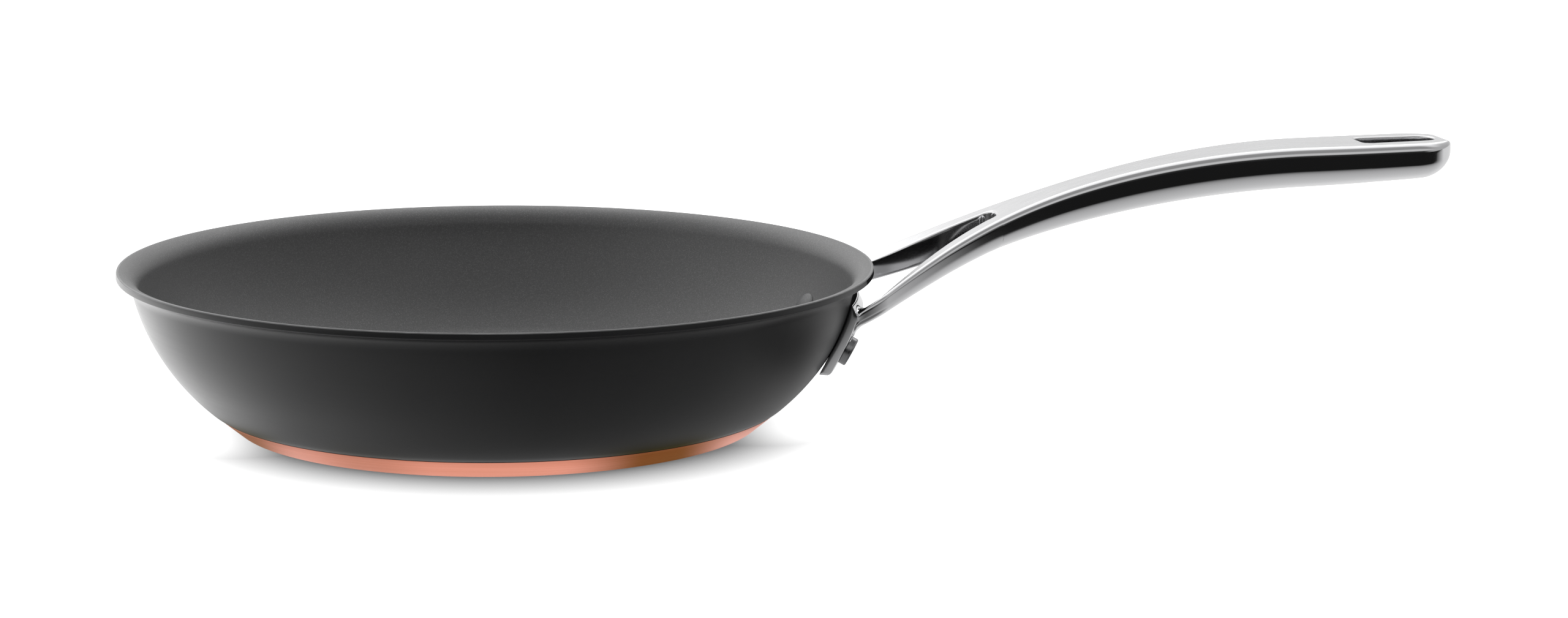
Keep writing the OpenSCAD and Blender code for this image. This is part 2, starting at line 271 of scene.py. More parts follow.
LIP_C = np.array([
    RIM_R + LIP_R * math.sin(math.radians(LIP_SLOPE)),
    PAN_H - (LIP_R + WALL_T) * math.cos(math.radians(LIP_SLOPE)),
])
HEEL_C = np.array([
    SKIRT_TOP_R - SKIRT_LEDGE - HEEL_R * math.sin(math.radians(HEEL_SLOPE)),
    SKIRT_H + HEEL_R * math.cos(math.radians(HEEL_SLOPE)),
])
SIDE_C = circle_meet(HEEL_C, SIDE_R - HEEL_R, LIP_C, SIDE_R + LIP_R)
SIDE_TOP_A = angle_of(LIP_C - SIDE_C)
HEEL_TOP_A = angle_of(HEEL_C - SIDE_C)
RIVET_TILT = math.asin((SIDE_C[1] - RIVET_LEVEL) / SIDE_R)
FLOOR_Z = STACK_H + FLOOR_T


def heel_x(z):
    """Radius of the outside at height z, low on the heel."""
    return HEEL_C[0] + math.sqrt(HEEL_R ** 2 - (z - HEEL_C[1]) ** 2)


def side_x(z):
    """The same on the wall's main curve."""
    return SIDE_C[0] + math.sqrt(SIDE_R ** 2 - (z - SIDE_C[1]) ** 2)


def bowl_outside():
    """From the axis under the floor, up the wall and under the lip."""
    low_a = math.degrees(math.asin((STACK_H - HEEL_C[1]) / HEEL_R))
    rim_a = 90 + LIP_SLOPE + math.degrees(RIM_ROUND / LIP_R)
    return np.vstack([
        line([0, STACK_H], [heel_x(STACK_H), STACK_H])[:-1],
        arc(HEEL_C, HEEL_R, low_a, HEEL_TOP_A, HEEL_STEPS),
        arc(SIDE_C, SIDE_R, HEEL_TOP_A, SIDE_TOP_A, SIDE_STEPS)[1:],
        arc(LIP_C, LIP_R, 180 + SIDE_TOP_A, rim_a, LIP_STEPS)[1:],
    ])


def bowl_rim():
    """The cut edge of the lip, with both its corners rounded."""
    slope = math.radians(LIP_SLOPE)
    out = np.array([math.cos(slope), math.sin(slope)])
    up = np.array([-math.sin(slope), math.cos(slope)])
    under = LIP_C + LIP_R * up
    over = LIP_C + (LIP_R + WALL_T) * up
    return np.vstack([
        arc(under - (out - up) * RIM_ROUND, RIM_ROUND, LIP_SLOPE - 90, LIP_SLOPE, RIM_STEPS)[1:],
        arc(over - (out + up) * RIM_ROUND, RIM_ROUND, LIP_SLOPE, LIP_SLOPE + 90, RIM_STEPS),
    ])


def bowl_inside():
    """From the lip's edge over and down the wall to the axis on the cooking floor."""
    run = SIDE_R - WALL_T - FLOOR_FILLET
    level = FLOOR_Z + FLOOR_FILLET
    fillet_c = np.array([SIDE_C[0] + math.sqrt(run ** 2 - (level - SIDE_C[1]) ** 2), level])
    fillet_a = angle_of(fillet_c - SIDE_C)
    lip_r = LIP_R + WALL_T
    rim_a = 90 + LIP_SLOPE + math.degrees(RIM_ROUND / lip_r)
    return np.vstack([
        arc(LIP_C, lip_r, rim_a, 180 + SIDE_TOP_A, LIP_STEPS)[1:],
        arc(SIDE_C, SIDE_R - WALL_T, SIDE_TOP_A, fillet_a, SIDE_STEPS)[1:],
        arc(fillet_c, FLOOR_FILLET, fillet_a, -90, FILLET_STEPS)[1:],
        line([fillet_c[0], FLOOR_Z], [0, FLOOR_Z])[1:],
    ])


# Meshes

def add_mesh(name, points, faces, materials, finish_of=None):
    """A smooth-shaded piece from points in millimetres. finish_of gives each face's material index."""
    mesh = bpy.data.meshes.new(name)
    mesh.from_pydata([tuple(p * MM) for p in np.asarray(points, float)], [], faces)
    for material in materials:
        mesh.materials.append(material)
    if finish_of is not None:
        mesh.polygons.foreach_set("material_index", finish_of)
    tidy_mesh(mesh)
    piece = bpy.data.objects.new(name, mesh)
    bpy.context.scene.collection.objects.link(piece)
    return piece


def tidy_mesh(mesh):
    """Joins coincident points, turns all faces outwards and marks the sharp edges."""
    bm = bmesh.new()
    bm.from_mesh(mesh)
    bmesh.ops.remove_doubles(bm, verts=bm.verts, dist=JOIN_DISTANCE)
    bmesh.ops.dissolve_degenerate(bm, edges=bm.edges, dist=THIN_EDGE)
    loose = [v for v in bm.verts if not v.link_faces]
    bmesh.ops.delete(bm, geom=loose, context="VERTS")
    bmesh.ops.recalc_face_normals(bm, faces=bm.faces)
    bm.to_mesh(mesh)
    bm.free()
    mesh.shade_smooth()
    mesh.set_sharp_from_angle(angle=math.radians(SHARP_ANGLE))


def lathe(name, section, materials, finish_of=None, steps=LATHE_STEPS):
    """A solid of revolution about Z. The section starts and ends on the axis.

    finish_of gives the finish of each run of the section from one point to the next.
    """
    turns = np.linspace(0, 2 * math.pi, steps, endpoint=False)
    ring = section[1:-1]
    points = [(r * math.cos(t), r * math.sin(t), z) for t in turns for r, z in ring]
    points += [(0, 0, section[0][1]), (0, 0, section[-1][1])]
    count = len(ring)
    finish_of = finish_of or [0] * (count + 1)
    faces = []
    for i in range(steps):
        a = i * count
        b = (i + 1) % steps * count
        faces.append((a, b, steps * count))
        faces.append((b + count - 1, a + count - 1, steps * count + 1))
        faces += [(a + j, a + j + 1, b + j + 1, b + j) for j in range(count - 1)]
    finishes = [finish_of[0], finish_of[-1], *finish_of[1:-1]] * steps
    return add_mesh(name, points, faces, materials, finishes)


def make_bowl(outside_finish, inside_finish, edge_finish):
    """The outside finish runs up to the lip's upper corner, which is a paler grey, a thin lighter line."""
    outside = bowl_outside()
    rim = bowl_rim()
    inside = bowl_inside()
    edge_count = RIM_STEPS + 1
    outside_count = len(outside) + len(rim) - edge_count
    finish_of = [OUTSIDE] * outside_count + [EDGE] * edge_count + [INSIDE] * (len(inside) - 1)
    section = np.vstack([outside, rim, inside])
    return lathe("bowl", section, [outside_finish, inside_finish, edge_finish], finish_of)


def skirt_in(z):
    """Radius of the inside of the copper skirt at height z."""
    return FOOT_R + (SKIRT_TOP_R - FOOT_R) * z / SKIRT_H - SKIRT_T


def make_copper_base(finish):
    """The copper skirt and bottom, with its outer corners softened and a pocket for the plate."""
    foot_edge = soften([PLATE_R, 0], [FOOT_R, 0], [SKIRT_TOP_R, SKIRT_H], FOOT_ROUND)
    top_edge = soften([FOOT_R, 0], [SKIRT_TOP_R, SKIRT_H], [heel_x(SKIRT_H), SKIRT_H], SKIRT_ROUND)
    section = np.vstack([
        line([0, PLATE_T], [PLATE_R + FIT_GAP, PLATE_T]),
        [PLATE_R + FIT_GAP, 0],
        foot_edge,
        top_edge,
        [heel_x(SKIRT_H) + FIT_GAP, SKIRT_H],
        [heel_x(STACK_H) + FIT_GAP, STACK_H],
        [skirt_in(STACK_H), STACK_H],
        [skirt_in(PLATE_T + COPPER_T), PLATE_T + COPPER_T],
        [0, PLATE_T + COPPER_T],
    ])
    return lathe("copper_skirt", section, [finish])


def make_base_plate(finish):
    """The magnetic steel disc let into the underside, with a small chamfer round it."""
    section = np.vstack([
        line([0, 0], [PLATE_R - PLATE_CHAMFER, 0]),
        [PLATE_R, PLATE_CHAMFER],
        [PLATE_R, PLATE_T],
        [0, PLATE_T],
    ])
    return lathe("steel_plate", section, [finish])


# Shape of the handle

FLARE_A = math.asin((WAIST_X - TURN_X) / FLARE_R)
TURN_END_X = TURN_X - TURN_R * math.sin(FLARE_A)
STRAIGHT_X = CREST_X - ARCH_R * math.sin(math.atan(END_SLOPE))


def outer_flare(x):
    """Half of the handle's width where it flares from its waist to the arms."""
    return WAIST_W / 2 + FLARE_R - math.sqrt(FLARE_R ** 2 - (WAIST_X - x) ** 2)


def outer_half(x):
    """Half of the handle's width."""
    if x < TURN_X:
        run = max(x, TURN_END_X) - TURN_END_X
        return outer_flare(TURN_X) + math.sqrt(TURN_R ** 2 - run ** 2) - TURN_R * math.cos(FLARE_A)
    if x < WAIST_X:
        return outer_flare(x)
    broad = ease((x - WAIST_X) / (BROAD_X - WAIST_X))
    end = close((x - ROUND_X) / (TIP_X - ROUND_X), END_POWER)
    return (WAIST_W + (END_W - WAIST_W) * broad) / 2 * end


def fork_half(x):
    """Half of the gap between the arms, and 0 past the opening's end."""
    if x <= OPENING_X:
        return outer_half(x) - ARM_W
    if x >= FORK_X - NOTHING:
        return 0.0
    return fork_half(OPENING_X) * close((x - OPENING_X) / OPENING_END, OPENING_POWER)


SLOT_CORNER_C = np.array([SLOT_START + SLOT_CORNER, SLOT_WIDE / 2 - SLOT_CORNER])
SLOT_OUT_C = np.array([SLOT_OUT_X, 0.0])
SLOT_RUN = SLOT_OUT_C - SLOT_CORNER_C
SLOT_SPREAD = math.acos((SLOT_CORNER - SLOT_OUT_R) / np.linalg.norm(SLOT_RUN))
SLOT_SIDE_A = math.radians(angle_of(SLOT_RUN)) + SLOT_SPREAD
SLOT_SIDE = np.array([math.cos(SLOT_SIDE_A), math.sin(SLOT_SIDE_A)])


def slot_half(x):
    """Half of the hanging slot's width, and 0 beside it."""
    if not SLOT_START < x < SLOT_END:
        return 0.0
    if x < SLOT_CORNER_C[0] + SLOT_CORNER * SLOT_SIDE[0]:
        return SLOT_CORNER_C[1] + math.sqrt(SLOT_CORNER ** 2 - (x - SLOT_CORNER_C[0]) ** 2)
    if x > SLOT_OUT_X + SLOT_OUT_R * SLOT_SIDE[0]:
        return math.sqrt(SLOT_OUT_R ** 2 - (x - SLOT_OUT_X) ** 2)
    return (SLOT_CORNER + SLOT_SIDE @ SLOT_CORNER_C - SLOT_SIDE[0] * x) / SLOT_SIDE[1]


def slot_distance(x, y):
    """Distance from a point of the grip to the hanging slot's outline, seen from above."""
    q = np.array([x, abs(y)])
    along = np.array([SLOT_SIDE[1], -SLOT_SIDE[0]])
    if along @ (q - SLOT_OUT_C) > 0:
        return np.linalg.norm(q - SLOT_OUT_C) - SLOT_OUT_R
    if along @ (q - SLOT_CORNER_C) > 0:
        return SLOT_SIDE @ (q - SLOT_CORNER_C) - SLOT_CORNER
    if q[1] < SLOT_CORNER_C[1]:
        return SLOT_START - x
    return np.linalg.norm(q - SLOT_CORNER_C) - SLOT_CORNER


def fork_distance(x, y):
    """Distance from a point of the handle to the fork's opening, seen from above."""
    y = abs(y)
    if x <= OPENING_X:
        return y - fork_half(x)
    half = fork_half(OPENING_X)
    u = max((x - OPENING_X) / OPENING_END, NOTHING)
    v = max(y / half, NOTHING)
    p = OPENING_POWER
    f = (u ** p + v ** p) ** (1 / p)
    slope = f ** (1 - p) * math.hypot(u ** (p - 1) / OPENING_END, v ** (p - 1) / half)
    return (f - 1) / slope


def edge_drop(x, y):
    """How far a surface falls away where it rounds into the fork's or the slot's opening."""
    d = min(max(min(slot_distance(x, y), fork_distance(x, y)), 0), EDGE_R)
    return EDGE_R - math.sqrt(EDGE_R ** 2 - (EDGE_R - d) ** 2)


def arc_z(x):
    """Height of the arch's arc."""
    return GRIP_Z - ARCH_R + math.sqrt(ARCH_R ** 2 - (CREST_X - x) ** 2)


ROOT_SLOPE = math.tan(math.asin((CREST_X - ROOT_X) / ARCH_R))
ROOT_BEND = (ARM_TOP_Z - arc_z(ROOT_X) + ROOT_SLOPE * (ROOT_X - RIM_R)) / (ROOT_X - RIM_R) ** 2


def arch_z(x):
    """Height of the top of the handle, before its nose."""
    if x < ROOT_X:
        run = ROOT_X - x
        return arc_z(ROOT_X) - ROOT_SLOPE * run + ROOT_BEND * min(run, ROOT_X - RIM_R) ** 2
    if x < STRAIGHT_X:
        return arc_z(x)
    return arc_z(STRAIGHT_X) + END_SLOPE * (x - STRAIGHT_X)


def depth(x):
    """Depth of the handle, before its nose."""
    return GRIP_DEPTH - (GRIP_DEPTH - ARM_DEPTH) * ((DEEP_X - x) / (DEEP_X - RIM_R)) ** 2


def nose(x, length):
    """From 0 where a nose of this length starts to 1 at the tip."""
    return 1 - close((x - TIP_X + length) / length)


def top_z(x):
    """Height of the top of the handle."""
    return arch_z(x) - NOSE_TOP * nose(x, NOSE_L)


def low_z(x):
    """Height of its underside, which lifts a little between the arms."""
    share = (max(x - RIM_R, 0) / (FORK_X - RIM_R)) ** 2 * min(fork_half(x) / fork_half(OPENING_X), 1)
    return arch_z(x) - depth(x) + share * UNDER_LIFT + (depth(x) - NOSE_TOP) * nose(x, NOSE_LOW_L)


# Turns of the round at an opening's edge, and points on each stretch of the section
EDGE_STEPS = np.radians(np.arange(0, 91, 15))
TOP_RUN = 7
SIDE_RUN = 6
BELLY_RUN = 18
WALL_RUN = 8


def half_section(x):
    """One side of the handle's section at x: (skin, wall, number of points on the top face).

    The skin runs from the inner upper edge over the top, down the bevel and the side and
    round the belly. The wall is the inner face of the fork or the slot, from below up.
    """
    fork = fork_half(x)
    inner = max(fork, slot_half(x))
    outer = outer_half(x)
    high = top_z(x)
    low = low_z(x)
    scale = max(high - low, 0) / GRIP_DEPTH
    shoulder = outer - min(BEVEL_W * scale, BEVEL_SHARE * outer)
    bevel_z = high - BEVEL_H * scale
    belly_z = high - SIDE_SHARE * (high - low)
    lean = ARM_LEAN * (max(FORK_X - x, 0) / (FORK_X - RIM_R)) ** 2
    edge = min(EDGE_R, EDGE_SHARE * max(shoulder - inner, 0))

    def on_top(y):
        share = (y - fork) / max(shoulder - fork, TINY)
        return [y, high - lean * (1 - share) - edge_drop(x, y)]

    def on_belly(y):
        share = min(max((y - fork) / max(outer - fork, TINY), 0), 1)
        return [y, belly_z - (belly_z - low) * math.sqrt(1 - share ** 2) + edge_drop(x, y)]

    near_edge = inner + edge * (1 - np.cos(EDGE_STEPS))
    corner = soften(on_top(inner + edge), [shoulder, high], [outer, bevel_z], CORNER_R * scale)
    brow = soften([shoulder, high], [outer, bevel_z], [outer, belly_z], CORNER_R * scale)
    brow_z = brow[-1][1]
    top = [on_top(y) for y in near_edge]
    top += [on_top(y) for y in np.linspace(near_edge[-1], corner[0][0], TOP_RUN + 1)[1:-1]]
    side = [[outer, brow_z + (belly_z - brow_z) * u] for u in np.linspace(0, 1, SIDE_RUN + 1)[1:]]
    last = math.acos(min(max((inner + edge - fork) / max(outer - fork, TINY), 0), 1))
    turns = np.linspace(0, last, BELLY_RUN + 1)[1:]
    belly = [on_belly(fork + (outer - fork) * math.cos(t)) for t in turns]
    belly += [on_belly(y) for y in near_edge[::-1][1:]]
    skin = np.array(top + corner + brow + side + belly, float)
    wall = [skin[-1] + (skin[0] - skin[-1]) * u for u in np.linspace(0, 1, WALL_RUN + 2)[1:-1]]
    return skin, np.array(wall), len(top)


# Places along each stretch of the handle, and the least distance from one place to the next
ROOT_STEP = 0.35
ARM_STEPS = 56
GRIP_STEPS = 120
BROAD_STEPS = 12
ROUND_STEPS = 16
TIP_STEPS = 44
LEAST_STEP = 0.02
PLACE_DIGITS = 4
SAME_PLACE = 1e-4


def handle_stations():
    """Places along the handle, closer together where an outline turns."""
    end_t = np.radians(np.linspace(0, 90, ROUND_STEPS))
    tip_t = np.radians(np.linspace(0, 90, TIP_STEPS))
    near = EDGE_R * (1 - np.cos(EDGE_STEPS))
    places = np.concatenate([
        np.arange(ARM_START_X, RIM_R, ROOT_STEP),
        np.linspace(RIM_R, OPENING_X, ARM_STEPS),
        OPENING_X + OPENING_END * np.sin(end_t),
        FORK_X + near,
        np.linspace(FORK_X + EDGE_R, SLOT_START - EDGE_R, GRIP_STEPS),
        SLOT_START - near,
        SLOT_START + SLOT_STEP + SLOT_CORNER * (1 - np.cos(end_t)),
        np.linspace(SLOT_START + SLOT_CORNER, SLOT_OUT_X, ROUND_STEPS),
        SLOT_OUT_X + SLOT_OUT_R * np.sin(end_t),
        SLOT_END + near,
        np.linspace(BROAD_X, ROUND_X, BROAD_STEPS),
        ROUND_X + (TIP_X - ROUND_X) * np.sin(tip_t),
    ])
    places = np.unique(np.round(places, PLACE_DIGITS))
    keep = [places[0]]
    fixed = (FORK_X, SLOT_START, SLOT_START + SLOT_STEP, SLOT_END, TIP_X)
    for x in places[1:]:
        if x - keep[-1] > LEAST_STEP or any(abs(x - f) < SAME_PLACE for f in fixed):
            keep.append(x)
    return keep


def flange_mid(z):
    """Radius of the middle of the flange at height z. It is straight below the rivets."""
    below = max(RIVET_LEVEL - z, 0)
    wall = side_x(z + below) - below * math.tan(RIVET_TILT)
    return wall + FLANGE_GAP + FLANGE_T / 2


def root_flare(skin, x):
    """Spreads the section's sides and belly where they run into the flange, as a cast fillet does."""
    along = np.gradient(skin, axis=0)
    outward = np.column_stack([-along[:, 1], along[:, 0]])
    outward /= np.maximum(np.linalg.norm(outward, axis=1, keepdims=True), TINY)
    spread = np.zeros(len(skin))
    for i, (y, z) in enumerate(skin):
        face = math.sqrt(max((flange_mid(z) + FLANGE_T / 2) ** 2 - y * y, 0))
        d = min(max(x - face, 0), ROOT_FILLET)
        spread[i] = ROOT_FILLET - math.sqrt(ROOT_FILLET ** 2 - (ROOT_FILLET - d) ** 2)
    weight = np.clip(SIDE_FILLET_SHARE - outward[:, 1], 0, 1)
    return skin + outward * (spread * weight)[:, None]


FLANGE_TAN = math.tan(math.radians(FLANGE_ANGLE))


def handle_bar():
    """The arms and the grip as one closed skin: points, faces and each face's finish."""
    places = handle_stations()
    points, faces, finishes = [], [], []
    opened = [max(fork_half(x), slot_half(x)) > NOTHING for x in places]
    for side in (1, -1):
        base = len(points)
        for x in places:
            skin, wall, top_count = half_section(x)
            if x < RIM_R + ROOT_FILLET:
                skin = root_flare(skin, x)
            for y, z in np.vstack([skin, wall]):
                back = x if x > ARM_START_X else math.sqrt(flange_mid(z) ** 2 - y * y)
                across = min(y, back * FLANGE_TAN - END_INSET)
                points.append((back, side * across, z))
        skin_count = len(skin)
        count = skin_count + len(wall)
        for i in range(len(places) - 1):
            a = base + i * count
            b = a + count
            runs = range(count) if opened[i] or opened[i + 1] else range(skin_count - 1)
            for j in runs:
                k = (j + 1) % count
                faces.append((a + j, b + j, b + k, a + k))
                finishes.append(SATIN if j < top_count else POLISHED)
        faces.append(tuple(base + j for j in range(count)))
        finishes.append(POLISHED)
    return points, faces, finishes


def resample(points, count):
    """The same line in plan, with its points at even distances."""
    runs = np.concatenate([[0], np.cumsum(np.linalg.norm(np.diff(points, axis=0), axis=1))])
    even = np.linspace(0, runs[-1], count)
    return np.column_stack([np.interp(even, runs, points[:, k]) for k in (0, 1)])


def flange_sides():
    """The flange's inner and outer line in section, both from its top edge down to its foot."""
    r_in = SIDE_R + FLANGE_GAP
    tilt = math.degrees(RIVET_TILT)
    n = np.array([math.cos(RIVET_TILT), -math.sin(RIVET_TILT)])
    down = np.array([-math.sin(RIVET_TILT), -math.cos(RIVET_TILT)])
    top_a = math.degrees(math.asin((PAN_H - FLANGE_DROP - SIDE_C[1]) / r_in))
    bend = SIDE_C + r_in * n
    foot = bend + down * (bend[1] - FLANGE_FOOT) / math.cos(RIVET_TILT)
    corner = bend + n * (FLANGE_T - FLANGE_ROUND)
    corner_c = corner + down * (corner[1] - FLANGE_FOOT - FLANGE_ROUND) / math.cos(RIVET_TILT)
    bevel_z = PAN_H - FLANGE_DROP - FLANGE_BEVEL
    bevel_a = math.degrees(math.asin((bevel_z - SIDE_C[1]) / (r_in + FLANGE_T)))
    inner = np.vstack([arc(SIDE_C, r_in, top_a, -tilt, SIDE_STEPS), foot])
    outer = np.vstack([
        arc(SIDE_C, r_in + FLANGE_EDGE, top_a, top_a, 0),
        arc(SIDE_C, r_in + FLANGE_T, bevel_a, -tilt, SIDE_STEPS),
        arc(corner_c, FLANGE_ROUND, -tilt, -90, FLANGE_ROUND_STEPS),
    ])
    return resample(inner, FLANGE_ROWS), resample(outer, FLANGE_ROWS)


def flange_mesh(finishes):
    """The curved plate that the rivets hold to the wall, as an even grid all over its faces."""
    inner, outer = flange_sides()
    slab = [inner + (outer - inner) * u for u in np.linspace(0, 1, FLANGE_LAYERS)]
    turns = np.radians(np.linspace(-FLANGE_ANGLE, FLANGE_ANGLE, FLANGE_TURNS))
    points = [(r * math.cos(t), r * math.sin(t), z) for t in turns for layer in slab for r, z in layer]

    def at(turn, layer, row):
        return (turn * FLANGE_LAYERS + layer) * FLANGE_ROWS + row

    faces = []
    for i in range(FLANGE_TURNS - 1):
        for layer in (0, FLANGE_LAYERS - 1):
            faces += [(at(i, layer, j), at(i, layer, j + 1), at(i + 1, layer, j + 1), at(i + 1, layer, j))
                      for j in range(FLANGE_ROWS - 1)]
        for row in (0, FLANGE_ROWS - 1):
            faces += [(at(i, k, row), at(i, k + 1, row), at(i + 1, k + 1, row), at(i + 1, k, row))
                      for k in range(FLANGE_LAYERS - 1)]
    for i in (0, FLANGE_TURNS - 1):
        faces += [(at(i, k, j), at(i, k + 1, j), at(i, k + 1, j + 1), at(i, k, j + 1))
                  for k in range(FLANGE_LAYERS - 1) for j in range(FLANGE_ROWS - 1)]
    return add_mesh("flange", points, faces, finishes, [FLANGE_MARK] * len(faces))


def seam_distance(bm, kinds):
    """Distance in millimetres from each point to the line where the arms meet the flange."""
    seam = [v for v, kind in zip(bm.verts, kinds) if len(kind) == 2]
    tree = KDTree(len(seam))
    for i, v in enumerate(seam):
        tree.insert(v.co, i)
    tree.balance()
    return np.array([tree.find(v.co)[2] / MM for v in bm.verts])


def relax(place, edges, count, share):
    """Moves each point towards the middle of its neighbours, by its own share."""
    total = np.zeros_like(place)
    np.add.at(total, edges[:, 0], place[edges[:, 1]])
    np.add.at(total, edges[:, 1], place[edges[:, 0]])
    return place + (total / count[:, None] - place) * (RELAX_SHARE * share)[:, None]


def blend_root(mesh):
    """Fills the line where the arms run into the flange, and takes the edge off the flange."""
    bm = bmesh.new()
    bm.from_mesh(mesh)
    bmesh.ops.remove_doubles(bm, verts=bm.verts, dist=WELD_DISTANCE * MM)
    bm.verts.ensure_lookup_table()
    bm.verts.index_update()
    edges = np.array([[v.index for v in e.verts] for e in bm.edges])
    count = np.zeros(len(bm.verts))
    np.add.at(count, edges.ravel(), 1)
    kinds = [{f.material_index == FLANGE_MARK for f in v.link_faces} for v in bm.verts]
    weight = np.clip(BLEND_START - seam_distance(bm, kinds) / ROOT_BLEND, 0, 1)
    flange = np.array([FLANGE_EDGE_SHARE if kind == {True} else 0.0 for kind in kinds])
    place = np.array([v.co for v in bm.verts])
    for _ in range(FLANGE_EDGE_STEPS):
        place = relax(place, edges, count, np.maximum(SEAM_EDGE_SHARE * weight, flange))
    start = place
    for _ in range(ROOT_BLEND_STEPS):
        place = relax(place, edges, count, weight)
    normals = np.array([v.normal for v in bm.verts])
    outward = np.sum((place - start) * normals, axis=1)
    place = start + (place - start) * np.clip(outward / (BLEND_EASE * MM), 0, 1)[:, None]
    for v, co in zip(bm.verts, place):
        v.co = co
    bm.to_mesh(mesh)
    bm.free()


def polish_flange(mesh):
    """Gives the flange's faces the arms' finish."""
    found = np.zeros(len(mesh.polygons), int)
    mesh.polygons.foreach_get("material_index", found)
    found[found == FLANGE_MARK] = POLISHED
    mesh.polygons.foreach_set("material_index", found)
    mesh.materials.pop(index=FLANGE_MARK)


def make_handle(polished, satin):
    """The cast handle: the bar and its flange joined into one skin."""
    finishes = [polished, satin, polished]
    points, faces, finish_of = handle_bar()
    bar = add_mesh("handle_casting", points, faces, finishes, finish_of)
    flange = flange_mesh(finishes)
    join = bar.modifiers.new("join", "BOOLEAN")
    join.operation = "UNION"
    join.solver = "MANIFOLD"
    join.object = flange
    graph = bpy.context.evaluated_depsgraph_get()
    joined = bpy.data.meshes.new_from_object(bar.evaluated_get(graph))
    bar.modifiers.clear()
    bar.data = joined
    bpy.data.objects.remove(flange)
    blend_root(joined)
    polish_flange(joined)
    joined.shade_smooth()
    joined.set_sharp_from_angle(angle=math.radians(HANDLE_SHARP_ANGLE))
    return bar


def make_rivet(name, side, finishes):
    """A rivet with a low coated head inside the bowl and a rounded drum head outside."""
    seat = FLANGE_GAP + FLANGE_T
    # The inner head's edge meets the curved wall
    inner = WALL_T + INNER_HEAD_R ** 2 / (2 * (SIDE_R - WALL_T))
    rise = np.radians(np.linspace(90, INNER_DOME_END, INNER_DOME_STEPS))
    coated = np.column_stack([INNER_HEAD_R * np.cos(rise), -inner - INNER_HEAD_H * np.sin(rise)])
    coated = np.vstack([[0, -inner - INNER_HEAD_H], coated[1:], [INNER_HEAD_R, -inner]])
    round_c = [HEAD_R - HEAD_ROUND, seat + HEAD_H - HEAD_ROUND - HEAD_DOME]
    bare = np.vstack([
        [SHANK_R, -inner],
        [SHANK_R, seat],
        [HEAD_R, seat],
        arc(round_c, HEAD_ROUND, 0, HEAD_ROUND_END, HEAD_ROUND_STEPS),
        [HEAD_R / 2, seat + HEAD_H - HEAD_DOME / 4],
        [0, seat + HEAD_H],
    ])
    finish_of = [COATED] * len(coated) + [BARE] * (len(bare) - 1)
    piece = lathe(name, np.vstack([coated, bare]), finishes, finish_of, RIVET_STEPS)
    place = Vector((side_x(RIVET_LEVEL), 0, RIVET_LEVEL)) * MM
    piece.matrix_world = (
        Matrix.Rotation(side * math.radians(RIVET_ANGLE), 4, "Z")
        @ Matrix.Translation(place)
        @ Matrix.Rotation(math.pi / 2 + RIVET_TILT, 4, "Y")
    )
    return piece


# Materials

class Nodes:
    """Short names for the nodes that a finish or the light is made of."""

    def __init__(self, tree):
        self.tree = tree

    def node(self, kind, inputs=(), **settings):
        """A node with its settings. Each input is a value or another node's output."""
        made = self.tree.nodes.new("ShaderNode" + kind)
        for key, value in settings.items():
            setattr(made, key, value)
        for key, value in dict(inputs).items():
            if isinstance(value, bpy.types.NodeSocket):
                self.tree.links.new(value, made.inputs[key])
            else:
                made.inputs[key].default_value = value
        return made

    def math(self, operation, a, b=0.0):
        return self.node("Math", {0: a, 1: b}, operation=operation).outputs[0]

    def weigh(self, a, b, share):
        """A share of b and the rest of a."""
        return self.math("ADD", self.math("MULTIPLY", a, 1 - share), self.math("MULTIPLY", b, share))

    def spread(self, value, low, high, to_low, to_high):
        """A value from one range to another, held at the ends."""
        return self.node("MapRange", {0: value, 1: low, 2: high, 3: to_low, 4: to_high}).outputs[0]

    def blend(self, value, low, high, to_low, to_high):
        """The same with soft ends."""
        ends = {0: value, 1: low, 2: high, 3: to_low, 4: to_high}
        return self.node("MapRange", ends, interpolation_type="SMOOTHSTEP").outputs[0]

    def fade(self, share, a, b):
        """From the number a to the number b."""
        return self.node("Mix", {0: share, 2: a, 3: b}).outputs[0]


